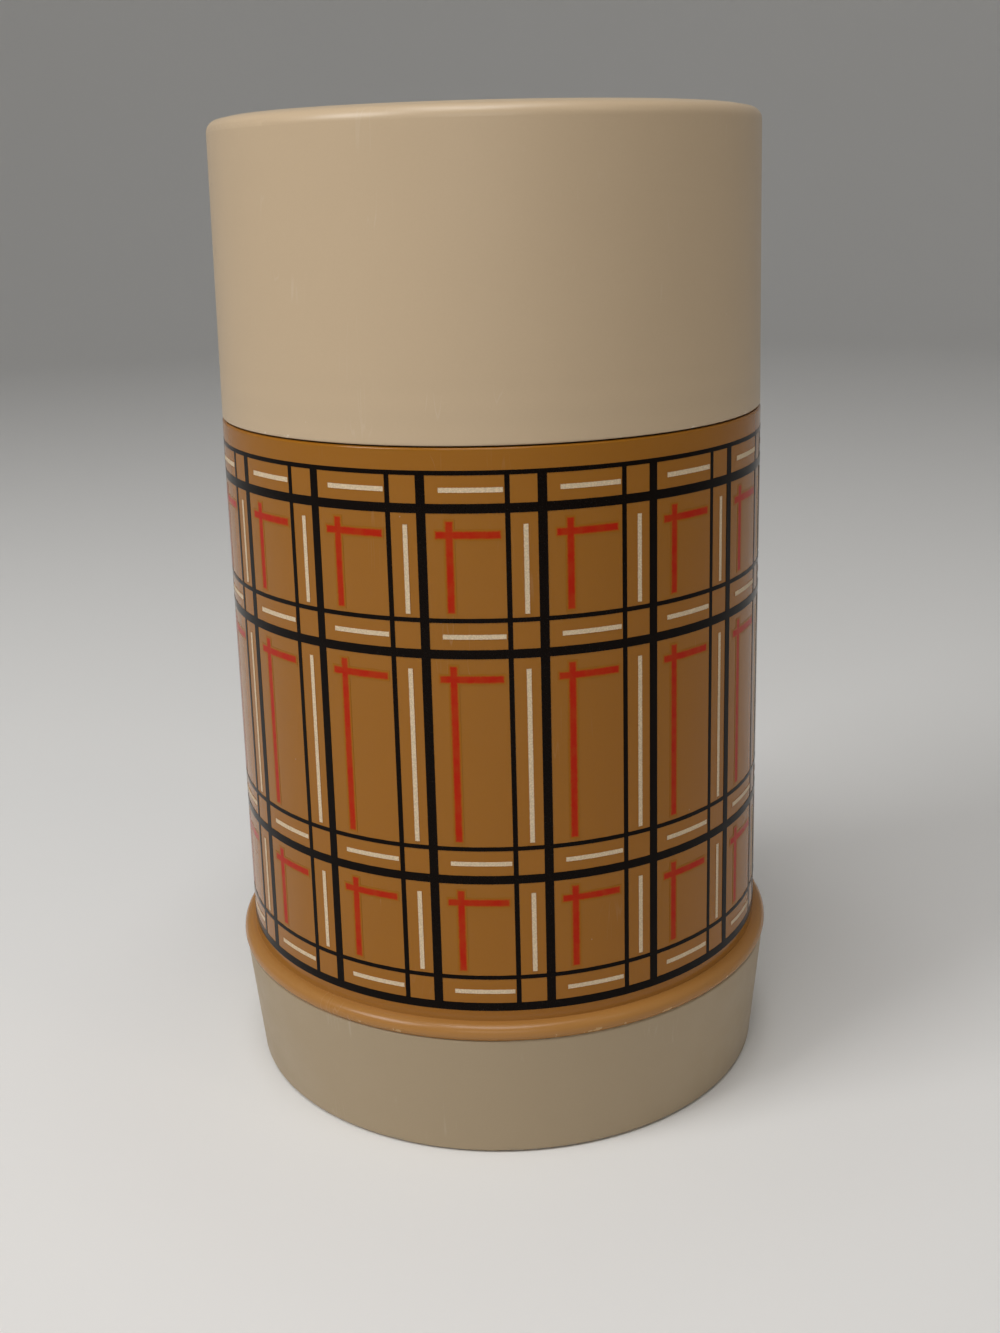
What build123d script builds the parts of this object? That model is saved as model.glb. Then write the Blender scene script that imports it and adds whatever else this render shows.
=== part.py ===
from build123d import *
import os

# Wide-mouth vacuum flask, millimetres. The flask stands on z = 0 with its axis on Z.
# Everything is built where it sits when the flask is closed.

# --- Driving sizes ---------------------------------------------------------
base_height = 24.2          # floor to the seam under the jacket's bead
jacket_height = 104.2       # seam to the jacket's shoulder
cup_height = 51.4           # lip to the crown of the cup
jacket_top_radius = 50.0
jacket_draft = 1.0          # extra radius at the foot of the jacket
bead_reach = 2.4            # how far the bead stands out from the wall
bead_height = 2.9
bead_roll = 1.8             # radius of the bead's rounded top, under bead_reach
bead_waist = 0.75           # seam to the bead's widest line
bead_undercut = 0.6         # how far the bead's underside turns in to the seam
base_taper = 2.2            # radius lost from the base's rim to its foot
cup_draft = 1.0             # radius lost between lip and crown
crown_bevel_drop = 0.8      # the crown's outer edge slopes down by this
crown_bevel_width = 4.0
cup_crown_edge = 2.2        # rounding where that slope meets the wall
lip_gap = 0.25              # shadow gap between shoulder and cup lip

# Walls
jacket_wall = 2.2
cup_wall = 2.2
base_wall = 2.4
collar_wall = 3.8
glass_wall = 1.2
stopper_wall = 2.1
upstand_wall = 2.0

# Threads, all right-handed with two starts
coarse_lead = 12.0          # cup on collar, jacket on base
fine_lead = 8.0             # stopper in collar
starts = 2
coarse_depth = 1.7
base_thread_depth = 1.4
fine_depth = 1.5
thread_play = 0.5           # radial gap from a crest to the facing root
thread_root_bury = 0.4      # how far a ridge is sunk into its wall

ridge_share = 0.5           # a ridge's foot as a share of the pitch
ridge_slope = 0.45          # how much each flank leans in per depth
collar_thread_turns = 0.75
cup_thread_turns = 0.45
base_thread_turns = 0.5
fine_thread_turns = 0.45

# Neck, collar and seals
neck_height = 17.6          # collar's height above the shoulder
collar_seat_drop = 1.0      # the shoulder's seat below its outer edge
spigot_length = 6.4
spigot_wall = 2.4
collar_ledge = 1.8          # inward ledge over the glass rim
collar_step = 0.6           # the spigot's bore is narrower than the threaded bore by this
stopper_reach = 8.6         # collar's top down to its ledge
mouth_step = 0.8            # the ledge's bore is wider than the mouth by this
cup_seal_width = 1.5
cup_seal_height = 1.6
neck_seal_skirt = 2.3
neck_seal_top = 1.6
neck_seal_drop = 8.0
stopper_seal_height = 1.6
seal_fit = 0.15             # radial gap between the neck seal and the glass
seal_play = 0.2             # gap between the other seals and what they stand beside

# Glass filler
filler_clearance = 2.3      # jacket's inner wall to the glass
vacuum_gap = 2.3
neck_vacuum_gap = 1.6
glass_neck_length = 12.0
glass_shoulder_length = 16.0
glass_upstand_clear = 5.8   # the glass is at full width this far above the base's upstand
tip_radius = 3.2
tip_length = 7.0
tip_clear = 5.0             # tip to the base's floor
tip_blend = 1.2             # the tip widens by this where it meets the bottom
spacer_height = 10.0
spacer_rise = 18.0          # above the rounded bottom
spacer_angle = 14.0
spacer_count = 3

# Cup
crown_ring_width = 7.5      # standing ring round the crown, the bowl's foot
crown_recess = 1.0
cup_inner_edge = 3.0

# Stopper
plug_clearance = 0.7
plug_length = 15.0
stopper_flange_inset = 1.9  # the flange stays this far inside the collar's outer wall
stopper_flange_gap = 0.2
stopper_flange_height = 2.6
grip_flutes = 30
grip_flute_radius = 2.0
grip_bar_width = 8.0
grip_bar_above_rim = 2.0
dish_depth = 12.0
foam_clear = 1.2
dish_floor = 1.8
dish_wall = 1.8
lid_rim = 2.0
lid_drop = 1.8              # the lid's rim below the flange's top
lid_lap = 0.9               # the lid's rim laps over the skirt's wall by this

# Base
base_floor = 2.4
floor_recess = 2.6          # underside of the floor above the table
upstand_height = 12.0       # threaded wall above the seam
rib_count = 12
rib_thickness = 1.6
cushion_height = 22.0
cushion_hole = 16.0
cushion_clear = 1.5         # cushion to the upstand's bore
tip_guard_radius = 8.0
tip_guard_floor = 1.2
tip_guard_gap = 0.4         # under the tip

# --- Places worked out from the sizes --------------------------------------
seam = base_height
shoulder = seam + jacket_height
lip = shoulder + lip_gap
crown = lip + cup_height
collar_seat = shoulder - collar_seat_drop
collar_top = shoulder + neck_height

jacket_foot_radius = jacket_top_radius + jacket_draft
jacket_bore_top = jacket_top_radius - jacket_wall
jacket_bore = jacket_foot_radius - jacket_wall
bead_radius = jacket_foot_radius + bead_reach
base_rim_radius = bead_radius - 0.3
base_foot_radius = base_rim_radius - base_taper

cup_lip_radius = jacket_top_radius - 0.06
cup_crown_radius = cup_lip_radius - cup_draft
cup_bore = cup_lip_radius - cup_wall
cup_taper = cup_draft / cup_height

neck_crest = cup_bore - cup_taper * neck_height - thread_play
neck_core = neck_crest - coarse_depth
cup_seal_inner = neck_crest + seal_play
cup_seal_outer = cup_seal_inner + cup_seal_width
seat_radius = cup_seal_outer + seal_play
cup_crest = neck_core + thread_play
collar_bore = neck_core - collar_wall
stopper_crest = collar_bore - thread_play
stopper_core = stopper_crest - fine_depth
collar_crest = stopper_core + thread_play

spigot_bore = collar_bore - collar_step
spigot_radius = spigot_bore + spigot_wall
neck_seal_radius = spigot_bore - seal_play
glass_neck_radius = neck_seal_radius - neck_seal_skirt - seal_fit
mouth_radius = glass_neck_radius - 2 * glass_wall - neck_vacuum_gap

ledge_top = collar_top - stopper_reach
ledge_bottom = ledge_top - collar_ledge
ledge_bore = mouth_radius + mouth_step
glass_rim = ledge_bottom - neck_seal_top
rim_round = (glass_neck_radius - mouth_radius) / 2
rim_spring = glass_rim - rim_round

filler_radius = jacket_bore_top - filler_clearance
glass_shoulder_top = rim_spring - glass_neck_length + rim_round
glass_shoulder_foot = glass_shoulder_top - glass_shoulder_length
liner_radius = filler_radius - glass_wall - vacuum_gap

base_crest = jacket_bore - thread_play
base_core = base_crest - base_thread_depth
jacket_crest = base_core + thread_play
upstand_bore = base_core - upstand_wall
upstand_top = seam + upstand_height
floor_top = floor_recess + base_floor
glass_bottom = floor_top + tip_length + tip_clear
glass_bottom_spring = upstand_top + glass_upstand_clear

plug_radius = mouth_radius - plug_clearance
plug_shoulder = ledge_top + stopper_seal_height
plug_bottom = ledge_top - plug_length
stopper_flange_radius = neck_core - stopper_flange_inset
stopper_flange_bottom = collar_top + stopper_flange_gap
stopper_top = stopper_flange_bottom + stopper_flange_height
stopper_cavity = plug_radius - stopper_wall
lid_top = stopper_top - lid_drop
lid_seat = lid_top - lid_rim
lid_radius = stopper_core - stopper_wall + lid_lap
dish_bottom = lid_top - dish_depth
spacer_low = glass_bottom_spring + spacer_rise

collar_thread_start = collar_seat + 4.2
cup_thread_start = lip + 4.2
stopper_thread_start = plug_shoulder + 1.5
collar_inner_start = plug_shoulder + 1.3
base_thread_start = seam + 2.4
jacket_thread_start = seam + 2.6


# --- Helpers ---------------------------------------------------------------
def turned(points, rounds=None):
    """A full turn about Z of the outline through (radius, height) points; rounds gives corners a radius."""
    face = make_face(Polyline(*points, close=True))
    for corner, radius in (rounds or {}).items():
        vertex = face.vertices().sort_by_distance(Vector(*points[corner]))[0]
        face = fillet(vertex, radius)
    return revolve(Plane.XZ * face, Axis.Z)


def ring(inner, outer, low, high):
    """A plain ring, or a disc when inner is 0."""
    return turned([(inner, low), (outer, low), (outer, high), (inner, high)])


def ridges(root, crest, lead, first_height, turns, start_angle=0.0):
    """The ridges of a two-start thread on the root radius; crest is outside or inside of it."""
    pitch = lead / starts
    outward = 1 if crest > root else -1
    foot = ridge_share * pitch / 2
    tip = foot - ridge_slope * abs(crest - root)
    buried = root - outward * thread_root_bury
    section = make_face(Polyline((buried, -foot), (root, -foot), (crest, -tip),
                                 (crest, tip), (root, foot), (buried, foot), close=True))
    path = Helix(pitch=lead, height=lead * turns, radius=root)
    ridge = sweep(Plane.XZ * section, path=path, is_frenet=True)
    return [Pos(0, 0, first_height) * Rot(0, 0, start_angle + 360.0 * i / starts) * ridge
            for i in range(starts)]


def meshing_angle(first_height, mate_first_height, lead):
    """The start angle that puts these ridges midway between the mate's, which start at angle 0."""
    return 360.0 * (first_height - mate_first_height - lead / starts / 2) / lead


def bottle(radius, neck_radius, bottom, spring, shoulder_foot, shoulder_top, top):
    """A bottle-shaped solid: rounded bottom, straight body, curved shoulder and straight neck."""
    bowl = EllipticalCenterArc((0, spring), radius, spring - bottom, start_angle=270, arc_size=90)
    shoulder_curve = Spline((radius, shoulder_foot), (neck_radius, shoulder_top), tangents=((0, 1), (0, 1)))
    edges = [bowl, Line((radius, spring), (radius, shoulder_foot)), shoulder_curve,
             Line((neck_radius, shoulder_top), (neck_radius, top)),
             Line((neck_radius, top), (0, top)), Line((0, top), (0, bottom))]
    return revolve(Plane.XZ * make_face(Curve() + edges), Axis.Z)


def glass_shape(inset, neck_radius, top):
    """The filler's outer shape moved inwards by inset."""
    return bottle(filler_radius - inset, neck_radius, glass_bottom + inset, glass_bottom_spring,
                  glass_shoulder_foot - inset / 2, glass_shoulder_top - inset / 2, top)


# --- Cup -------------------------------------------------------------------
def make_cup():
    """The drinking cup, upside down as the flask's cap, with its thread inside the lip."""
    rebate = collar_seat + cup_seal_height
    ceiling = crown - crown_recess - cup_wall
    ring_inner = cup_crown_radius - crown_ring_width
    points = [(cup_bore, rebate), (cup_seal_outer + 0.05, rebate), (cup_seal_outer + 0.05, lip),
              (cup_lip_radius, lip), (cup_crown_radius, crown - crown_bevel_drop),
              (cup_crown_radius - crown_bevel_width, crown), (ring_inner, crown),
              (ring_inner - crown_recess, crown - crown_recess), (0, crown - crown_recess),
              (0, ceiling), (cup_bore - cup_draft, ceiling)]
    shell = turned(points, {3: 0.3, 4: cup_crown_edge, 5: 5.0, 6: 0.5, 10: cup_inner_edge})
    angle = meshing_angle(cup_thread_start, collar_thread_start, coarse_lead)
    root = cup_bore - cup_taper * (cup_thread_start + coarse_lead * cup_thread_turns - lip)
    return shell + ridges(root, cup_crest, coarse_lead, cup_thread_start, cup_thread_turns, angle)


def make_cup_seal():
    """The thin square rubber ring between the cup's lip and the jacket's shoulder."""
    return ring(cup_seal_inner, cup_seal_outer, collar_seat, collar_seat + cup_seal_height)


# --- Stopper ---------------------------------------------------------------
def make_stopper_plug():
    """The hollow plug with its threaded skirt and fluted flange."""
    web = plug_shoulder + stopper_wall
    skirt_bore = stopper_core - stopper_wall
    points = [(0, plug_bottom), (plug_radius - 0.4, plug_bottom), (plug_radius, plug_shoulder),
              (stopper_core, plug_shoulder), (stopper_core, stopper_flange_bottom),
              (stopper_flange_radius, stopper_flange_bottom), (stopper_flange_radius, stopper_top),
              (lid_radius, stopper_top), (lid_radius, lid_seat), (skirt_bore, lid_seat),
              (skirt_bore, web), (plug_radius, web), (plug_radius, lid_seat),
              (stopper_cavity, lid_seat), (stopper_cavity, plug_bottom + stopper_wall),
              (0, plug_bottom + stopper_wall)]
    body = turned(points, {1: 1.6, 6: 0.7, 14: 1.0})
    flute = ring(0, grip_flute_radius, stopper_flange_bottom - 1, stopper_top + 1)
    flute = Pos(stopper_flange_radius + grip_flute_radius * 0.6, 0, 0) * flute
    body -= [Rot(0, 0, 360.0 * i / grip_flutes) * flute for i in range(grip_flutes)]
    return body + ridges(stopper_core, stopper_crest, fine_lead, stopper_thread_start, fine_thread_turns)


def make_stopper_lid():
    """The dished lid that closes the plug, with the bar that fingers turn it by."""
    outer = stopper_cavity
    inner = outer - dish_wall
    points = [(0, dish_bottom - dish_floor), (outer, dish_bottom - dish_floor), (outer, lid_seat),
              (lid_radius, lid_seat), (lid_radius, lid_top), (inner, lid_top),
              (inner, dish_bottom), (0, dish_bottom)]
    dish = turned(points, {5: 0.6, 6: 1.2})
    bar_height = lid_top + grip_bar_above_rim - dish_bottom + 0.5
    bar = Box(2 * inner - 0.8, grip_bar_width, bar_height, align=(Align.CENTER, Align.CENTER, Align.MIN))
    bar = fillet(bar.edges().group_by(Axis.Z)[-1], 1.8)
    bar = Pos(0, 0, dish_bottom - 0.5) * bar
    return dish + (bar & ring(0, outer - 0.3, dish_bottom - 0.6, lid_top + 5))


def make_stopper_foam():
    """The foam puck that insulates the hollow plug."""
    return ring(0, stopper_cavity - foam_clear, plug_bottom + stopper_wall, dish_bottom - dish_floor)


def make_stopper_seal():
    """The flat rubber washer under the stopper's skirt."""
    return ring(plug_radius + seal_play, stopper_core - seal_play, ledge_top, plug_shoulder)


# --- Jacket, collar and neck seal ------------------------------------------
def make_jacket():
    """The outer jacket: drafted wall, inward shoulder, rolled bead and the thread for the base."""
    bead_top = seam + bead_height
    ceiling = collar_seat - jacket_wall
    points = [(jacket_bore, seam), (bead_radius - bead_undercut, seam), (bead_radius, seam + bead_waist),
              (bead_radius, bead_top), (jacket_foot_radius, bead_top), (jacket_top_radius, shoulder),
              (seat_radius, shoulder), (seat_radius, collar_seat), (spigot_radius, collar_seat),
              (spigot_radius, ceiling), (jacket_bore_top, ceiling)]
    shell = turned(points, {1: 0.25, 2: 0.6, 3: bead_roll, 5: 0.4, 10: 1.2})
    angle = meshing_angle(jacket_thread_start, base_thread_start, coarse_lead)
    return shell + ridges(jacket_bore, jacket_crest, coarse_lead, jacket_thread_start,
                          base_thread_turns, angle)


def make_neck_collar():
    """The neck ring pressed into the shoulder: cup thread outside, stopper thread inside."""
    points = [(neck_core, collar_seat), (neck_core, collar_top), (collar_bore, collar_top),
              (collar_bore, ledge_top), (ledge_bore, ledge_top),
              (ledge_bore, ledge_bottom), (spigot_bore, ledge_bottom),
              (spigot_bore, collar_seat - spigot_length), (spigot_radius, collar_seat - spigot_length),
              (spigot_radius, collar_seat)]
    body = turned(points, {1: 0.9, 2: 0.9, 4: 0.5})
    outside = ridges(neck_core, neck_crest, coarse_lead, collar_thread_start, collar_thread_turns)
    angle = meshing_angle(collar_inner_start, stopper_thread_start, fine_lead)
    inside = ridges(collar_bore, collar_crest, fine_lead, collar_inner_start, fine_thread_turns, angle)
    return body + outside + inside


def make_neck_seal():
    """The rubber ring hooked over the glass rim, pinched under the collar's ledge."""
    top = glass_rim + neck_seal_top
    inner = ledge_bore - seal_play
    points = [(inner, glass_rim), (glass_neck_radius + seal_fit, glass_rim),
              (glass_neck_radius + seal_fit, glass_rim - neck_seal_drop),
              (neck_seal_radius, glass_rim - neck_seal_drop), (neck_seal_radius, top),
              (inner, top)]
    return turned(points, {3: 0.6})


# --- Glass filler ----------------------------------------------------------
def make_outer_glass():
    """The outer flask of glass, with the fused rim at the mouth and the sealed tip below."""
    wall = glass_shape(0, glass_neck_radius, rim_spring)
    wall -= glass_shape(glass_wall, glass_neck_radius - glass_wall, rim_spring)
    middle = glass_neck_radius - rim_round
    upper_half = Pos(middle, rim_spring) * (Circle(rim_round) - Circle(rim_round - glass_wall))
    upper_half &= Pos(middle, rim_spring + rim_round) * Rectangle(4 * rim_round, 2 * rim_round)
    tip = turned([(0, glass_bottom - tip_length), (tip_radius, glass_bottom - tip_length),
                  (tip_radius + tip_blend, glass_bottom + glass_wall / 2), (0, glass_bottom + glass_wall / 2)],
                 {1: tip_radius - 0.2})
    return wall + revolve(Plane.XZ * upper_half, Axis.Z) + tip


def make_inner_glass():
    """The inner flask of glass, which holds the food and is fused to the outer one at the rim."""
    inset = filler_radius - liner_radius
    wall = glass_shape(inset, mouth_radius + glass_wall, rim_spring)
    return wall - glass_shape(inset + glass_wall, mouth_radius, rim_spring)


def make_glass_spacers():
    """Three small pads that keep the two glass walls apart."""
    face = Pos((liner_radius + filler_radius - glass_wall) / 2, spacer_low + spacer_height / 2)
    face *= Rectangle(vacuum_gap, spacer_height)
    pad = revolve(Plane.XZ * face, Axis.Z, spacer_angle)
    return [Rot(0, 0, 360.0 * i / spacer_count) * pad for i in range(spacer_count)]


def make_tip_guard():
    """The rubber thimble over the glass tip."""
    low = glass_bottom - tip_length - tip_guard_gap - tip_guard_floor
    guard = ring(0, tip_guard_radius, low, glass_bottom + 2)
    guard -= ring(0, tip_radius + tip_blend + seal_play, low + tip_guard_floor, glass_bottom + 2)
    return guard - glass_shape(0, glass_neck_radius, rim_spring)


# --- Base ------------------------------------------------------------------
def make_base_cup():
    """The screw-on base: outer skirt to the table, threaded upstand, raised floor and ribs between."""
    ledge = seam - base_wall
    points = [(base_foot_radius, 0), (base_rim_radius, seam), (base_core, seam),
              (base_core, upstand_top), (upstand_bore, upstand_top), (upstand_bore, floor_top),
              (0, floor_top), (0, floor_recess), (base_core, floor_recess), (base_core, ledge),
              (base_rim_radius - base_wall, ledge), (base_foot_radius - base_wall, 0)]
    body = turned(points, {0: 1.0, 1: 0.3, 3: 0.6, 5: 1.5})
    rib_space = turned([(base_core - 0.3, floor_recess), (base_foot_radius - base_wall + 0.6, floor_recess),
                        (base_rim_radius - base_wall + 0.3, ledge + 0.3), (base_core - 0.3, ledge + 0.3)])
    blade = Pos(base_core, 0, 0) * Box(16, rib_thickness, 2 * seam)
    body += [rib_space & (Rot(0, 0, 360.0 * i / rib_count) * blade) for i in range(rib_count)]
    return body + ridges(base_core, base_crest, coarse_lead, base_thread_start, base_thread_turns)


def make_bottom_cushion():
    """The rubber ring under the glass, dished to fit its rounded bottom."""
    block = ring(cushion_hole, upstand_bore - cushion_clear, floor_top, floor_top + cushion_height)
    return block - glass_shape(0, glass_neck_radius, rim_spring)


sub_parts = {
    "cup": make_cup,
    "cup_seal": make_cup_seal,
    "stopper_plug": make_stopper_plug,
    "stopper_lid": make_stopper_lid,
    "stopper_foam": make_stopper_foam,
    "stopper_seal": make_stopper_seal,
    "jacket": make_jacket,
    "neck_collar": make_neck_collar,
    "neck_seal": make_neck_seal,
    "outer_glass": make_outer_glass,
    "inner_glass": make_inner_glass,
    "glass_spacers": make_glass_spacers,
    "tip_guard": make_tip_guard,
    "base_cup": make_base_cup,
    "bottom_cushion": make_bottom_cushion,
}

os.makedirs("parts", exist_ok=True)
for name, make in sub_parts.items():
    made = make()
    solids = made if isinstance(made, list) else [made]
    solids = [solid for item in solids for solid in item.solids()]
    export_step(Compound(label=name, children=solids), f"parts/{name}.step")
    print(f"{name:16} {len(solids)} solid(s), {sum(solid.volume for solid in solids) / 1000:8.2f} cm3")
print(f"height {crown:.1f}, bead {2 * bead_radius:.1f}, mouth {2 * mouth_radius:.1f}")
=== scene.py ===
import math

import bpy
from mathutils import Matrix, Vector


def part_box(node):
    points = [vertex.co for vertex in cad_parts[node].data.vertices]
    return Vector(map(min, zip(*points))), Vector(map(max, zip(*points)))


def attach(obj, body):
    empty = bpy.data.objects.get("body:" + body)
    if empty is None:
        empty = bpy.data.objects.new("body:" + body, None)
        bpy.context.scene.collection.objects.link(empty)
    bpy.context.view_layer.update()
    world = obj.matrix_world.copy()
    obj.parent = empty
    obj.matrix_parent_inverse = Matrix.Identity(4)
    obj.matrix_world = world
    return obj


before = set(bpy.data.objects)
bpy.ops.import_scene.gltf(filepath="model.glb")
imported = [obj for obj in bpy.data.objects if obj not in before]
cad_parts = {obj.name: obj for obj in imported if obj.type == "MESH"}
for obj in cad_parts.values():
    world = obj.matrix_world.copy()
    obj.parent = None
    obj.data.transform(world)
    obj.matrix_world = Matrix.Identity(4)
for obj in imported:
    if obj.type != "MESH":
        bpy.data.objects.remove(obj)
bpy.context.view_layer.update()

# --- Sizes worked out from the frame, in metres ------------------------------
MM = 0.001
TAU = 2 * math.pi
BEAD_HEIGHT = 2.9 * MM
BEAD_REACH = 2.4 * MM           # how far the bead stands out from the wall's foot
WALL_SPREAD = 1.0 * MM          # how much wider the wall's radius is at the foot than at the shoulder

jacket_low, jacket_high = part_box("jacket")
seam = jacket_low.z
shoulder = jacket_high.z
bead_top = seam + BEAD_HEIGHT
foot_radius = jacket_high.x - BEAD_REACH
shoulder_radius = foot_radius - WALL_SPREAD

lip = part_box("cup")[0].z
collar_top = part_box("neck_collar")[1].z
lid_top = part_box("stopper_lid")[1].z


def wall_radius(height):
    """The jacket's outer radius at a height: it widens evenly from shoulder to bead."""
    return shoulder_radius + WALL_SPREAD * (shoulder - height) / (shoulder - bead_top)


# --- Camera ------------------------------------------------------------------
def front_camera():
    """A close camera a little below the crown, tipped down and a shade off level."""
    distance, height = 289.3 * MM, 167.6 * MM
    pitch, yaw, roll = math.radians(17.46), math.radians(0.07), math.radians(-1.479)
    data = bpy.data.cameras.new("front_camera")
    data.sensor_fit = "AUTO"
    data.sensor_width = 36.0
    data.lens = 41.27
    data.clip_start = 0.01
    camera = bpy.data.objects.new("front_camera", data)
    forward = Vector((math.sin(yaw) * math.cos(pitch), math.cos(yaw) * math.cos(pitch), -math.sin(pitch)))
    level = Vector((math.cos(yaw), -math.sin(yaw), 0))
    upright = level.cross(forward)
    right = level * math.cos(roll) + upright * math.sin(roll)
    up = upright * math.cos(roll) - level * math.sin(roll)
    turn = Matrix((right, up, -forward)).transposed().to_4x4()
    camera.matrix_world = Matrix.Translation((0, -distance, height)) @ turn
    bpy.context.scene.collection.objects.link(camera)
    bpy.context.scene.camera = camera


front_camera()


# --- Node trees: a small helper -------------------------------------------------
class Wiring:
    """Adds nodes to a tree. A socket given as an input is linked, anything else is set as its value."""

    def __init__(self, tree):
        self.tree = tree

    def node(self, kind, inputs=None, **settings):
        made = self.tree.nodes.new(kind)
        for key, value in settings.items():
            setattr(made, key, value)
        for key, value in (inputs or {}).items():
            self.feed(made.inputs[key], value)
        return made

    def feed(self, socket, value):
        if isinstance(value, bpy.types.NodeSocket):
            self.tree.links.new(value, socket)
        else:
            socket.default_value = value

    def maths(self, operation, *values, clamp=False):
        made = self.node("ShaderNodeMath", dict(enumerate(values)), operation=operation, use_clamp=clamp)
        return made.outputs[0]

    def vector(self, operation, *values):
        made = self.node("ShaderNodeVectorMath", dict(enumerate(values)), operation=operation)
        return made.outputs["Value" if operation == "DOT_PRODUCT" else "Vector"]

    def scale(self, vector, level):
        """A colour or a vector times a number."""
        made = self.node("ShaderNodeVectorMath", {0: vector, "Scale": level}, operation="SCALE")
        return made.outputs["Vector"]

    def parts(self, vector):
        return self.node("ShaderNodeSeparateXYZ", {0: vector}).outputs

    def join(self, **parts):
        return self.node("ShaderNodeCombineXYZ", parts).outputs[0]

    def spot(self):
        """The shaded spot's place, in metres."""
        return self.node("ShaderNodeTexCoord").outputs["Object"]

    def stored(self, name):
        return self.node("ShaderNodeAttribute", attribute_name=name).outputs["Vector"]

    def bump(self, shader, height, strength, depth, invert=False):
        """Dents the shader's normal by a height of 0 to 1; depth is in millimetres."""
        made = self.node("ShaderNodeBump", {"Strength": strength, "Distance": depth * MM, "Height": height},
                         invert=invert)
        self.feed(shader.inputs["Normal"], made.outputs[0])

    def ramp(self, value, low, high, start=0.0, end=1.0):
        """A smooth step from start to end as value goes from low to high."""
        made = self.node("ShaderNodeMapRange", {"Value": value, "From Min": low, "From Max": high,
                                                "To Min": start, "To Max": end},
                         interpolation_type="SMOOTHSTEP")
        return made.outputs["Result"]

    def blend(self, share, first, second):
        """The second colour over the first by a share."""
        made = self.node("ShaderNodeMix", data_type="RGBA")
        self.feed(made.inputs[0], share)
        self.feed(made.inputs[6], first)
        self.feed(made.inputs[7], second)
        return made.outputs[2]

    def noise(self, place, scale, detail=2.0, roughness=0.5, distortion=0.0):
        made = self.node("ShaderNodeTexNoise", {"Vector": place, "Scale": scale, "Detail": detail,
                                                "Roughness": roughness, "Distortion": distortion})
        return made.outputs["Fac"]


def new_group(name, kind, inputs, outputs):
    """A node group with named sockets; returns its wiring, its inputs and the node to feed its outputs."""
    tree = bpy.data.node_groups.new(name, kind)
    for label, (socket, value) in inputs.items():
        made = tree.interface.new_socket(label, in_out="INPUT", socket_type=socket)
        if value is not None:
            made.default_value = value
    for label, socket in outputs.items():
        tree.interface.new_socket(label, in_out="OUTPUT", socket_type=socket)
    wiring = Wiring(tree)
    return wiring, wiring.node("NodeGroupInput").outputs, wiring.node("NodeGroupOutput").inputs


FLOAT, COLOUR, VECTOR = "NodeSocketFloat", "NodeSocketColor", "NodeSocketVector"


# --- Effects that several finishes share -----------------------------------------
def moulded_group():
    """Moulded plastic: cloudy tone, fine grain, and a shallow orange-peel height."""
    w, given, result = new_group(
        "moulded_plastic", "ShaderNodeTree",
        {"Tone": (COLOUR, (0.5, 0.5, 0.5, 1)), "Cloud": (FLOAT, 0.06), "Grain": (FLOAT, 0.03),
         "Gloss Low": (FLOAT, 0.2), "Gloss High": (FLOAT, 0.3)},
        {"Color": COLOUR, "Roughness": FLOAT, "Height": FLOAT})
    place = w.spot()
    cloud = w.noise(place, 38.0, 3.0, 0.55, 0.4)
    grain = w.noise(place, 2600.0, 1.0)
    lift = w.maths("MULTIPLY", w.maths("SUBTRACT", cloud, 0.5), given["Cloud"])
    fleck = w.maths("MULTIPLY", w.maths("SUBTRACT", grain, 0.5), given["Grain"])
    level = w.maths("ADD", w.maths("ADD", lift, fleck), 1.0)
    w.feed(result["Color"], w.scale(given["Tone"], level))
    patch = w.noise(place, 90.0, 4.0, 0.6)
    w.feed(result["Roughness"], w.ramp(patch, 0.3, 0.7, given["Gloss Low"], given["Gloss High"]))
    w.feed(result["Height"], w.noise(place, 620.0, 2.0))
    return w.tree


HAIR = 30                       # hairlines wander this often in a metre of their length


def wear_group():
    """Handling marks: hairline scratches, a rubbed edge at one height, and settled dust."""
    w, given, result = new_group(
        "handling_marks", "ShaderNodeTree",
        {"Rub Height": (FLOAT, 0.0), "Rub Spread": (FLOAT, 0.001)},
        {"Rub": FLOAT, "Scratch": FLOAT, "Dust": FLOAT})
    place = w.spot()
    side = w.parts(place)
    away = w.maths("ABSOLUTE", w.maths("SUBTRACT", side["Z"], given["Rub Height"]))
    near = w.ramp(w.maths("DIVIDE", away, given["Rub Spread"]), 0.3, 1.0, 1.0, 0.0)
    w.feed(result["Rub"], w.maths("MULTIPLY", near, w.ramp(w.noise(place, 420.0, 3.0, 0.6), 0.60, 0.66)))
    # hairlines are drawn on the wall unrolled flat: arc length across, height up
    around = w.maths("ARCTAN2", side["X"], w.maths("MULTIPLY", side["Y"], -1.0))
    flat = w.join(X=w.maths("MULTIPLY", around, foot_radius), Y=side["Z"])
    hairs = 0.0
    for lean, stretch in ((0.35, 9.0), (-0.9, 14.0)):
        turned = w.node("ShaderNodeMapping", {"Vector": flat, "Rotation": (0, 0, lean),
                                              "Scale": (stretch * HAIR, HAIR, 1)}).outputs[0]
        line = w.maths("ABSOLUTE", w.maths("SUBTRACT", w.noise(turned, 1.0, 1.0), 0.5))
        patch = w.ramp(w.noise(flat, 60.0 + stretch, 2.0), 0.60, 0.70)
        hair = w.maths("MULTIPLY", w.ramp(line, 0.0, 0.010, 1.0, 0.0), patch)
        hairs = w.maths("MAXIMUM", hairs, hair)
    w.feed(result["Scratch"], hairs)
    spots = w.node("ShaderNodeTexVoronoi", {"Vector": place, "Scale": 330.0}).outputs
    chosen = w.node("ShaderNodeSeparateColor", {0: spots["Color"]}).outputs[0]
    speck = w.ramp(spots["Distance"], 0.02, 0.05, 1.0, 0.0)
    w.feed(result["Dust"], w.maths("MULTIPLY", speck, w.maths("GREATER_THAN", chosen, 0.97)))
    return w.tree


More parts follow.
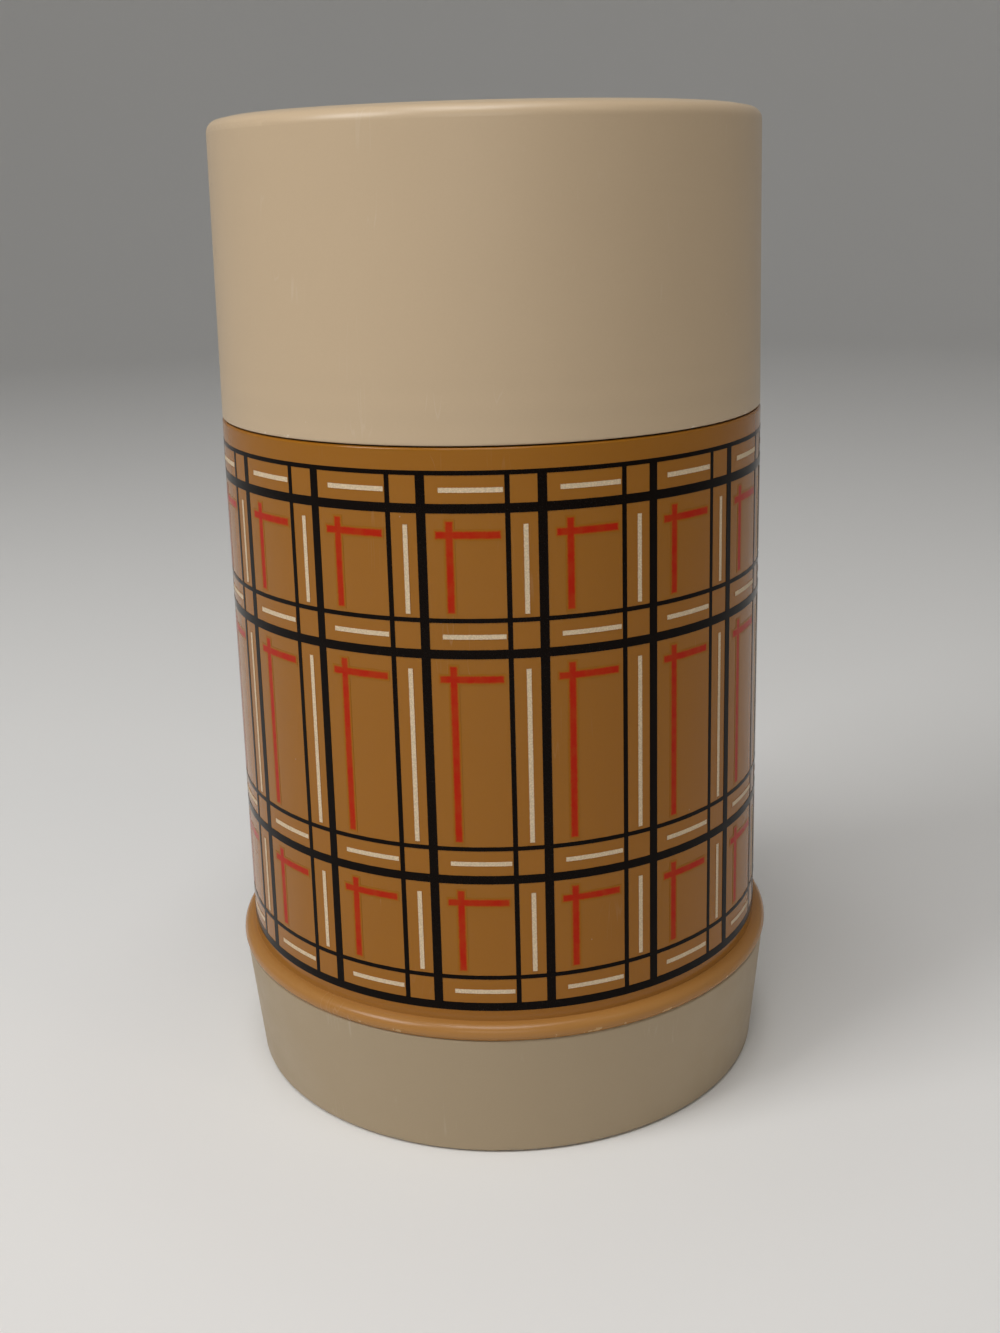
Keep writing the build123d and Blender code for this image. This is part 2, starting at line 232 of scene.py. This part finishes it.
moulded = moulded_group()
handling = wear_group()


def finish(name):
    """A new material with its wiring and its shader."""
    material = bpy.data.materials.new(name)
    material.use_nodes = True
    return material, Wiring(material.node_tree), material.node_tree.nodes["Principled BSDF"]


def group_node(w, tree, **values):
    """A group with its named inputs set; returns its outputs."""
    made = w.node("ShaderNodeGroup", node_tree=tree)
    for label, value in values.items():
        w.feed(made.inputs[label.replace("_", " ")], value)
    return made.outputs


SINK_FIRST, SINK_SPACING, SINK_REACH = 1.4 * MM, 5.5 * MM, 13 * MM


def sink_ripple(w, foot):
    """Faint level bands above a height, where the plastic sank over the thread inside: -1 to 1."""
    above = w.maths("SUBTRACT", w.parts(w.spot())["Z"], foot + SINK_FIRST)
    wave = w.maths("COSINE", w.maths("MULTIPLY", above, TAU / SINK_SPACING))
    return w.maths("MULTIPLY", wave, w.ramp(above, SINK_REACH / 2, SINK_REACH, 1.0, 0.0))


PEEL = 0.02                     # depth of a moulded wall's orange peel, in millimetres
PALE_SCRATCH = (0.80, 0.75, 0.66, 1)
PALE_DUST = (0.78, 0.74, 0.68, 1)


def plastic(name, tone, gloss, rub_height, rub_tone, rub_spread=0.8, cloud=0.04, scratches=0.10,
            dust=0.35, specular=0.4, sink=0.0, painted_sheen=None):
    """A moulded plastic with chipped spots along one edge, hairlines and dust.

    Gloss is its smoothest and its roughest; rub_spread is in millimetres. Where sink isn't
    nought, bands of that depth in millimetres run round above the worn edge. Its last
    argument is a height and a tone: below that height the plastic is painted that paler tone,
    a painted sheen, and made a little rougher.
    """
    material, w, shader = finish(name)
    body = group_node(w, moulded, Tone=(*tone, 1), Cloud=cloud, Gloss_Low=gloss[0], Gloss_High=gloss[1])
    marks = group_node(w, handling, Rub_Height=rub_height, Rub_Spread=rub_spread * MM)
    colour, rough = body["Color"], body["Roughness"]
    # painted sheen: below the given height the colour is painted paler to stand in for the sheen the bead
    # reflects; roughness also rises a little there
    if painted_sheen:
        edge, sheen_tone = painted_sheen
        sheen_share = w.ramp(w.parts(w.spot())["Z"], edge - 1.2 * MM, edge + 1.0 * MM, 1.0, 0.0)
        colour = w.blend(sheen_share, colour, (*sheen_tone, 1))
        rough = w.maths("ADD", rough, w.maths("MULTIPLY", sheen_share, 0.07))
    colour = w.blend(w.maths("MULTIPLY", marks["Rub"], 0.6), colour, (*rub_tone, 1))
    colour = w.blend(w.maths("MULTIPLY", marks["Scratch"], scratches), colour, PALE_SCRATCH)
    colour = w.blend(w.maths("MULTIPLY", marks["Dust"], dust), colour, PALE_DUST)
    rough = w.maths("ADD", rough, w.maths("MULTIPLY", marks["Scratch"], 0.12))
    rough = w.maths("ADD", rough, w.maths("MULTIPLY", marks["Rub"], 0.15), clamp=True)
    w.feed(shader.inputs["Roughness"], rough)
    shader.inputs["Specular IOR Level"].default_value = specular
    height = w.maths("SUBTRACT", body["Height"], w.maths("MULTIPLY", marks["Scratch"], 0.3))
    if sink:
        ripple = sink_ripple(w, rub_height)
        height = w.maths("ADD", height, w.maths("MULTIPLY", ripple, sink / PEEL))
        # the sunk bands are also painted a shade darker and the raised ones a shade lighter: painted shade
        colour = w.scale(colour, w.maths("MULTIPLY_ADD", ripple, 0.010, 1.0))
    w.feed(shader.inputs["Base Color"], colour)
    w.bump(shader, height, 0.35, PEEL)
    return material


CREAM = (0.55, 0.415, 0.270)
MUSTARD = (0.310, 0.118, 0.008)

cup_cream = plastic("cup_cream", CREAM, (0.30, 0.34), lip, (0.78, 0.70, 0.58), sink=0.03)
# the base's cream is a little greyer than the cup's and is also painted darker overall: painted shade for the
# light falling off towards the bottom
shaded_base_cream = plastic("shaded_base_cream", (0.40, 0.305, 0.192), (0.40, 0.52), 0.0, (0.36, 0.30, 0.22), 1.4)
collar_cream = plastic("collar_cream", CREAM, (0.28, 0.34), collar_top, (0.7, 0.62, 0.5))
stopper_cream = plastic("stopper_cream", (0.64, 0.52, 0.37), (0.26, 0.38), lid_top, (0.75, 0.68, 0.56))
# the jacket is painted paler below bead_top + 0.6 mm, over the bead: painted sheen
mustard = plastic("mustard_jacket", MUSTARD, (0.13, 0.19), bead_top - 2.2 * MM, (0.62, 0.42, 0.20), 0.5,
                  cloud=0.05, scratches=0.035, dust=0.2, specular=0.26,
                  painted_sheen=(bead_top + 0.6 * MM, (0.385, 0.182, 0.050)))


# --- Inks ------------------------------------------------------------------------
def ink_edge_group():
    """How far inside a printed strip's edge a spot is, with a ragged edge: 1 is inked, 0 is bare."""
    w, given, result = new_group(
        "ragged_ink_edge", "ShaderNodeTree",
        {"Ragged": (FLOAT, 0.1)}, {"Inked": FLOAT})
    side = w.parts(w.vector("SUBTRACT", w.stored("reach"), w.vector("ABSOLUTE", w.stored("place"))))
    depth = w.maths("MINIMUM", side["X"], side["Y"])
    bite = w.maths("MULTIPLY", w.noise(w.spot(), 6000.0, 1.0), given["Ragged"])
    w.feed(result["Inked"], w.ramp(w.maths("SUBTRACT", depth, bite), -0.01, 0.03))
    return w.tree


ink_edge = ink_edge_group()


def crisp_ink(name, tone, ragged, speckle, rough):
    """Screen-printed ink; ragged is how far in millimetres its edge leaves the jacket's plastic bare."""
    material, w, shader = finish(name)
    spot = w.spot()
    shade = w.scale(tone, w.ramp(w.noise(spot, 4200.0, 1.0), 0.35, 0.7, 1.0 - speckle, 1.0))
    if ragged:
        bare = group_node(w, moulded, Tone=(*MUSTARD, 1), Cloud=0.05)
        inked = group_node(w, ink_edge, Ragged=ragged)["Inked"]
        shade = w.blend(inked, bare["Color"], shade)
    w.feed(shader.inputs["Base Color"], shade)
    patch = w.noise(spot, 120.0, 3.0)
    w.feed(shader.inputs["Roughness"], w.ramp(patch, 0.3, 0.7, rough - 0.04, rough + 0.05))
    shader.inputs["Specular IOR Level"].default_value = 0.07
    return material


black_ink = crisp_ink("black_ink", (0.0045, 0.0016, 0.0004), 0, 0.25, 0.18)
white_ink = crisp_ink("white_ink", (0.74, 0.585, 0.395), 0.14, 0.22, 0.34)

# the red arms, in millimetres from where they cross
CROSS_LEFT, CROSS_RIGHT, CROSS_UP = 2.25, 8.30, 2.2
BRUSH = 0.58                    # half an arm's width


def brushed_ink():
    """Red laid with a soft edge along two arms that cross; each strip knows where the crossing is."""
    material, w, shader = finish("red_ink")
    bare = group_node(w, moulded, Tone=(*MUSTARD, 1), Cloud=0.05)
    spot = w.spot()
    place = w.parts(w.stored("place"))
    across, up = place["X"], place["Y"]
    foot = w.maths("MULTIPLY", w.parts(w.stored("reach"))["Z"], -1.0)

    def beyond(value, low, high):
        return w.maths("MAXIMUM", w.maths("SUBTRACT", low, value), w.maths("SUBTRACT", value, high))

    level_arm = w.maths("MAXIMUM", beyond(up, -BRUSH, BRUSH), beyond(across, -CROSS_LEFT, CROSS_RIGHT))
    upright_arm = w.maths("MAXIMUM", beyond(across, -BRUSH, BRUSH), beyond(up, foot, CROSS_UP))
    outside = w.maths("MINIMUM", level_arm, upright_arm)
    fuzz = w.maths("MULTIPLY", w.maths("SUBTRACT", w.noise(spot, 3200.0, 3.0, 0.7), 0.5), 0.42)
    outside = w.maths("ADD", outside, fuzz)
    inked = w.ramp(outside, -0.18, 0.22, 1.0, 0.0)
    thin = w.ramp(w.noise(spot, 420.0, 2.0), 0.35, 0.65, 0.86, 1.0)
    cover = w.maths("MULTIPLY", inked, thin)
    w.feed(shader.inputs["Base Color"], w.blend(cover, bare["Color"], (0.42, 0.014, 0.001, 1)))
    w.feed(shader.inputs["Roughness"], w.ramp(w.noise(spot, 120.0, 3.0), 0.3, 0.7, 0.16, 0.26))
    shader.inputs["Specular IOR Level"].default_value = 0.1
    return material


red_ink = brushed_ink()


# --- The print, laid on the jacket by Geometry Nodes --------------------------------
def strip_tree():
    """Adds a row of printed strips round the jacket's cone to whatever mesh comes in."""
    w, given, result = new_group(
        "printed_strips", "GeometryNodeTree",
        {"Mesh": ("NodeSocketGeometry", None), "Count": ("NodeSocketInt", 16),
         "First Angle": (FLOAT, 0.0), "Step Angle": (FLOAT, 0.1), "Arc": (FLOAT, 0.02),
         "Low": (FLOAT, 0.0), "High": (FLOAT, 0.01), "Segments": ("NodeSocketInt", 4),
         "Radius Low": (FLOAT, 0.05), "Radius High": (FLOAT, 0.05), "Sink": (FLOAT, 0.0001),
         "Lift": (FLOAT, 0.00003), "Closed": ("NodeSocketBool", False),
         "Offset": (VECTOR, (0, 0, 0)), "Reach": (VECTOR, (0, 0, 0)),
         "Ink": ("NodeSocketMaterial", None)},
        {"Mesh": "NodeSocketGeometry"})
    grid = w.node("GeometryNodeMeshGrid", {"Size X": 1.0, "Size Y": 1.0, "Vertices Y": 2,
                                           "Vertices X": w.maths("ADD", given["Segments"], 1)})
    share = w.parts(w.node("GeometryNodeInputPosition").outputs[0])
    angle = w.maths("MULTIPLY", share["X"], given["Arc"])
    up = w.maths("ADD", share["Y"], 0.5)
    height = w.maths("MULTIPLY_ADD", up, w.maths("SUBTRACT", given["High"], given["Low"]), given["Low"])
    widening = w.maths("SUBTRACT", given["Radius High"], given["Radius Low"])
    radius = w.maths("MULTIPLY_ADD", up, widening, given["Radius Low"])
    millimetres = w.maths("MULTIPLY", w.maths("MULTIPLY", angle, given["Radius Low"]), 1000.0)
    middle = w.maths("MULTIPLY", w.maths("ADD", given["Low"], given["High"]), 0.5)
    rise = w.maths("MULTIPLY", w.maths("SUBTRACT", height, middle), 1000.0)
    place = w.vector("ADD", w.join(X=millimetres, Y=rise), given["Offset"])
    marked = grid.outputs["Mesh"]
    for label, value in (("place", place), ("reach", given["Reach"])):
        marked = w.node("GeometryNodeStoreNamedAttribute",
                        {"Geometry": marked, "Name": label, "Value": value},
                        data_type="FLOAT_VECTOR", domain="POINT").outputs[0]
    sunk = w.maths("SUBTRACT", radius, given["Sink"])
    bent = w.join(X=w.maths("MULTIPLY", sunk, w.maths("SINE", angle)),
                  Y=w.maths("MULTIPLY", w.maths("MULTIPLY", sunk, w.maths("COSINE", angle)), -1.0),
                  Z=height)
    sheet = w.node("GeometryNodeSetPosition", {"Geometry": marked, "Position": bent}).outputs[0]
    raised = w.node("GeometryNodeExtrudeMesh",
                    {"Mesh": sheet, "Offset Scale": w.maths("ADD", given["Sink"], given["Lift"]),
                     "Individual": False}, mode="FACES")
    # a closed ring has no ends, so the two end walls where it meets itself are dropped
    spot = w.parts(w.node("GeometryNodeInputPosition").outputs[0])
    tangent = w.vector("NORMALIZE", w.join(X=w.maths("MULTIPLY", spot["Y"], -1.0), Y=spot["X"]))
    along = w.vector("DOT_PRODUCT", tangent, w.node("GeometryNodeInputNormal").outputs[0])
    end_wall = w.maths("GREATER_THAN", w.maths("ABSOLUTE", along), 0.5)
    dropped = w.maths("MULTIPLY", w.maths("MULTIPLY", end_wall, given["Closed"]), raised.outputs["Side"])
    walls = w.node("GeometryNodeDeleteGeometry", {"Geometry": raised.outputs["Mesh"], "Selection": dropped},
                   domain="FACE")
    back = w.node("GeometryNodeFlipFaces", {"Mesh": sheet})
    whole = w.node("GeometryNodeJoinGeometry")
    for part in (back, walls):
        w.tree.links.new(part.outputs[0], whole.inputs[0])
    solid = w.node("GeometryNodeMergeByDistance", {"Geometry": whole.outputs[0], "Distance": 1e-6})
    points = w.node("GeometryNodePoints", {"Count": given["Count"]})
    turn = w.maths("MULTIPLY_ADD", w.node("GeometryNodeInputIndex").outputs[0], given["Step Angle"],
                   given["First Angle"])
    euler = w.node("FunctionNodeEulerToRotation", {0: w.join(Z=turn)})
    copies = w.node("GeometryNodeInstanceOnPoints",
                    {"Points": points.outputs[0], "Instance": solid.outputs[0], "Rotation": euler.outputs[0]})
    real = w.node("GeometryNodeRealizeInstances", {0: copies.outputs[0]})
    inked = w.node("GeometryNodeSetMaterial", {"Geometry": real.outputs[0], "Material": given["Ink"]})
    joined = w.node("GeometryNodeJoinGeometry")
    w.tree.links.new(given["Mesh"], joined.inputs[0])
    w.tree.links.new(inked.outputs[0], joined.inputs[0])
    w.feed(result["Mesh"], joined.outputs[0])
    return w.tree


printed_strips = strip_tree()


class Print:
    """One ink's piece: families of strips are added, then the whole is made a plain mesh on the jacket."""

    def __init__(self, name, ink, lift):
        self.piece = bpy.data.objects.new(name, bpy.data.meshes.new(name))
        bpy.context.scene.collection.objects.link(self.piece)
        self.ink, self.lift = ink, lift

    def strips(self, low, high, centre, width, count, step, offset=(0, 0, 0), reach=None):
        """Strips between two heights, each width degrees wide, the first centred on an azimuth in degrees."""
        family = self.piece.modifiers.new("strips", "NODES")
        family.node_group = printed_strips
        closed = width >= 360
        arc = math.radians(width)
        half = (arc * wall_radius(low) / MM / 2, (high - low) / MM / 2, 0)
        values = {"Count": count, "First Angle": math.radians(centre), "Step Angle": math.radians(step),
                  "Arc": arc, "Low": low, "High": high, "Segments": max(2, round(width)),
                  "Radius Low": wall_radius(low), "Radius High": wall_radius(high),
                  "Lift": self.lift, "Closed": closed, "Offset": offset,
                  "Reach": reach or ((half[0] + 1, half[1], 0) if closed else half), "Ink": self.ink}
        for item in printed_strips.interface.items_tree:
            if item.in_out == "INPUT" and item.name in values:
                family[item.identifier] = values[item.name]

    def lay(self):
        """Makes the strips a plain mesh that rides on the jacket."""
        graph = bpy.context.evaluated_depsgraph_get()
        mesh = bpy.data.meshes.new_from_object(self.piece.evaluated_get(graph))
        self.piece.modifiers.clear()
        self.piece.data = mesh
        mesh.shade_smooth()
        mesh.set_sharp_from_angle(angle=math.radians(30))
        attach(self.piece, "jacket")


COLUMNS = 16
CELL = 360 / COLUMNS
THICK_FIRST = 8.9               # azimuth of a thick upright, from the front towards the right
THIN_AFTER = 16.05              # a thin upright follows each thick one by this
THICK, THIN = 1.78, 0.96        # uprights' widths, degrees
BAND = 5.72 * MM                # centre to centre of a thin and a thick ring
ROWS = (18.50 * MM, 34.55 * MM, 18.60 * MM)
RING_THICK, RING_THIN = 1.55 * MM, 0.75 * MM
DASH = 0.96 * MM                # a white dash's width
LEVEL_DASH_AT, LEVEL_DASH_ARC = 9.35, 12.1      # degrees: its middle after the thick upright, its length
LEVEL_DASH_RISE = 0.12 * MM     # its middle over the middle of its band
UPRIGHT_DASH_AT = 19.35
UPRIGHT_DASH_LOW, UPRIGHT_DASH_HIGH = 0.9 * MM, 2.6 * MM    # its ends from the rings under and over it
ARMS_AT = 5.2                   # degrees from the thick upright to where the red arms cross
ARMS_BELOW = 4.3 * MM           # the crossing under the middle of the thick ring over it
ARM_FOOT = 1.3 * MM             # the upright arm's foot over the middle of the thin ring under it
PRINT_INSET = 3.96 * MM         # the shoulder to the middle of the highest ring

# how far each layer of ink stands up from the jacket
LEVEL_RED, UPRIGHT_RED, WHITE, UPRIGHT_BLACK, RING_BLACK = (
    0.012 * MM, 0.016 * MM, 0.020 * MM, 0.024 * MM, 0.032 * MM)

print_top = shoulder - PRINT_INSET

ring_pairs = []
height = print_top
for row in (*ROWS, 0):
    ring_pairs.append((height, height - BAND))
    height -= BAND + row
print_low = ring_pairs[-1][1] - RING_THICK / 2
print_high = print_top + RING_THIN / 2


def tartan_black():
    """Thick and thin uprights, crossed by pairs of a thin and a thick ring."""
    lines = Print("black_tartan", black_ink, UPRIGHT_BLACK)
    for centre, width in ((THICK_FIRST, THICK), (THICK_FIRST + THIN_AFTER, THIN)):
        lines.strips(print_low, print_high, centre, width, COLUMNS, CELL)
    lines.lift = RING_BLACK
    for thin, thick in ring_pairs:
        for middle, width in ((thin, RING_THIN), (thick, RING_THICK)):
            lines.strips(middle - width / 2, middle + width / 2, 0, 360, 1, 0)
    lines.lay()


def tartan_white():
    """A level dash in each wide cell of the bands, an upright one in each narrow cell of the rows."""
    dashes = Print("white_dashes", white_ink, WHITE)
    for thin, thick in ring_pairs:
        middle = (thin + thick) / 2 + LEVEL_DASH_RISE
        dashes.strips(middle - DASH / 2, middle + DASH / 2, THICK_FIRST + LEVEL_DASH_AT, LEVEL_DASH_ARC,
                      COLUMNS, CELL)
    degrees = math.degrees(DASH / wall_radius(print_low))
    for (_, above), (below, _) in zip(ring_pairs, ring_pairs[1:]):
        low, high = below + UPRIGHT_DASH_LOW, above - UPRIGHT_DASH_HIGH
        dashes.strips(low, high, THICK_FIRST + UPRIGHT_DASH_AT, degrees, COLUMNS, CELL)
    dashes.lay()


def tartan_red():
    """In each wide cell of the rows, an upright arm crossed near its top by a level one."""
    arms = Print("red_crosses", red_ink, UPRIGHT_RED)
    margin = 0.35               # millimetres of strip past an arm's edge, for the brush's fuzz
    thickness = 2 * (BRUSH + margin)
    for (_, above), (below, _) in zip(ring_pairs, ring_pairs[1:]):
        crossing = above - ARMS_BELOW
        drop = (crossing - below - ARM_FOOT) / MM
        per_degree = math.radians(1) * wall_radius((above + below) / 2) / MM
        reach = (0, 0, drop)
        half = (drop + CROSS_UP) / 2 + margin
        shift = (CROSS_UP - drop) / 2
        arms.lift = UPRIGHT_RED
        arms.strips(crossing + (shift - half) * MM, crossing + (shift + half) * MM,
                    THICK_FIRST + ARMS_AT, thickness / per_degree, COLUMNS, CELL, (0, shift, 0), reach)
        half = (CROSS_RIGHT + CROSS_LEFT) / 2 + margin
        shift = (CROSS_RIGHT - CROSS_LEFT) / 2
        arms.lift = LEVEL_RED
        arms.strips(crossing - thickness / 2 * MM, crossing + thickness / 2 * MM,
                    THICK_FIRST + ARMS_AT + shift / per_degree, 2 * half / per_degree, COLUMNS, CELL,
                    (shift, 0, 0), reach)
    arms.lay()


tartan_black()
tartan_white()
tartan_red()


# --- Finishes of the pieces inside ------------------------------------------------
def rubber(name, tone):
    """Dull moulded rubber with a pale bloom."""
    material, w, shader = finish(name)
    body = group_node(w, moulded, Tone=(*tone, 1), Cloud=0.25, Grain=0.12, Gloss_Low=0.6, Gloss_High=0.8)
    bloom = w.ramp(w.noise(w.spot(), 150.0, 4.0, 0.6), 0.5, 0.75, 0.0, 0.14)
    w.feed(shader.inputs["Base Color"], w.blend(bloom, body["Color"], (0.45, 0.42, 0.38, 1)))
    w.feed(shader.inputs["Roughness"], body["Roughness"])
    w.bump(shader, body["Height"], 0.5, 0.03)
    return material


def silvered(name):
    """Clear glass over a silver film, a little clouded where the film is thin."""
    material, w, shader = finish(name)
    spot = w.spot()
    cloud = w.noise(spot, 60.0, 4.0, 0.6, 0.5)
    silver, tarnish = (0.80, 0.80, 0.78, 1), (0.62, 0.56, 0.45, 1)
    w.feed(shader.inputs["Base Color"], w.blend(w.ramp(cloud, 0.52, 0.72), silver, tarnish))
    shader.inputs["Metallic"].default_value = 1.0
    w.feed(shader.inputs["Roughness"], w.ramp(cloud, 0.4, 0.7, 0.05, 0.16))
    shader.inputs["Coat Weight"].default_value = 1.0
    shader.inputs["Coat Roughness"].default_value = 0.03
    w.bump(shader, w.noise(spot, 45.0, 2.0), 0.3, 0.3)
    return material


def fibre(name, tone, scale):
    """A dry open surface: pressed fibre or foam beads."""
    material, w, shader = finish(name)
    cells = w.node("ShaderNodeTexVoronoi", {"Vector": w.spot(), "Scale": scale}).outputs["Distance"]
    # each spot is painted darker away from its cell's middle, towards the low hollows between cells: painted
    # shade
    w.feed(shader.inputs["Base Color"], w.scale(tone, w.ramp(cells, 0.0, 0.8, 1.05, 0.8)))
    w.feed(shader.inputs["Roughness"], w.ramp(cells, 0.0, 0.8, 0.7, 0.95))
    w.bump(shader, cells, 0.8, 0.15, invert=True)
    return material


seal_rubber = rubber("seal_rubber", (0.055, 0.032, 0.022))
cushion_rubber = rubber("cushion_rubber", (0.035, 0.033, 0.031))
silvered_glass = silvered("silvered_glass")

finishes = {
    "cup": cup_cream, "base_cup": shaded_base_cream, "jacket": mustard, "neck_collar": collar_cream,
    "stopper_plug": stopper_cream, "stopper_lid": stopper_cream,
    "cup_seal": seal_rubber, "stopper_seal": seal_rubber, "neck_seal": seal_rubber,
    "bottom_cushion": cushion_rubber, "tip_guard": cushion_rubber,
    "outer_glass": silvered_glass, "inner_glass": silvered_glass,
    "glass_spacers": fibre("spacer_fibre", (0.42, 0.40, 0.35), 1800.0),
    "stopper_foam": fibre("foam_beads", (0.80, 0.79, 0.75), 420.0),
}
for name, material in finishes.items():
    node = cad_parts[name]
    node.data.materials.clear()
    node.data.materials.append(material)


# --- Floor and light ---------------------------------------------------------
def bowl(profile, steps=96):
    """A pale bowl about the Z axis: a point at its middle, then a ring for each (radius, height)."""
    mesh = bpy.data.meshes.new("studio_bowl")
    points = [(0, 0, 0)]
    for radius, height in profile:
        for step in range(steps):
            angle = TAU * step / steps
            points.append((radius * math.cos(angle), radius * math.sin(angle), height))
    faces = [(0, 1 + step, 1 + (step + 1) % steps) for step in range(steps)]
    for row in range(len(profile) - 1):
        for step in range(steps):
            low, following = 1 + row * steps, (step + 1) % steps
            faces.append((low + step, low + steps + step, low + steps + following, low + following))
    mesh.from_pydata(points, [], faces)
    mesh.shade_smooth()
    piece = bpy.data.objects.new("studio_bowl", mesh)
    bpy.context.scene.collection.objects.link(piece)
    return mesh


def studio():
    """A pale seamless bowl, a soft key high on the left, a box overhead, a front box and a faint warm one."""
    flat, curve, top = 1.4, 1.0, 2.2
    turns = [step * TAU / 64 for step in range(17)]
    rise = [(flat + curve * math.sin(turn), curve * (1 - math.cos(turn))) for turn in turns]
    floor = bowl([(0.3, 0), (0.8, 0), *rise, (flat + curve, top)])
    material, _, shader = finish("pale_floor")
    shader.inputs["Base Color"].default_value = (0.80, 0.79, 0.77, 1)
    shader.inputs["Roughness"].default_value = 0.8
    floor.materials.append(material)

    def softbox(name, azimuth, elevation, away, size, power, colour=(1, 1, 1), aim=0.09, outwards=False):
        """An area light at an azimuth (from the front towards the right) and an elevation, degrees."""
        around, up = math.radians(azimuth), math.radians(elevation)
        target = Vector((0, 0, aim))
        outward = Vector((math.sin(around) * math.cos(up), -math.cos(around) * math.cos(up), math.sin(up)))
        light = bpy.data.lights.new(name, "AREA")
        light.shape = "RECTANGLE"
        light.size, light.size_y = size
        light.energy = power
        light.color = colour
        item = bpy.data.objects.new(name, light)
        item.location = target + outward * away
        facing = Vector((-outward.x, -outward.y, 0.7)) if outwards else outward
        item.rotation_euler = facing.to_track_quat("Z", "Y").to_euler()
        bpy.context.scene.collection.objects.link(item)

    softbox("key_box", -60, 42, 1.0, (0.40, 0.40), 4.2)
    softbox("ceiling_box", -15, 72, 1.0, (0.46, 0.46), 3.4)
    softbox("front_fill", -4, 24, 1.1, (0.60, 0.36), 1.1)
    softbox("warm_box", 54, 48, 1.2, (0.16, 0.3), 0.4, (1, 0.86, 0.66))
    # four boxes over the object face away from it and light the bowl's wall evenly all round
    for azimuth in (45, 135, 225, 315):
        softbox("wall_wash_%d" % azimuth, azimuth, 0, 0.4, (0.6, 0.6), 2.6, aim=1.8, outwards=True)
    world = bpy.data.worlds.new("studio_sky")
    world.use_nodes = True
    world.node_tree.nodes["Background"].inputs[0].default_value = (0.86, 0.88, 0.90, 1)
    world.node_tree.nodes["Background"].inputs[1].default_value = 0.07
    bpy.context.scene.world = world
    bpy.context.scene.view_settings.view_transform = "Standard"


studio()
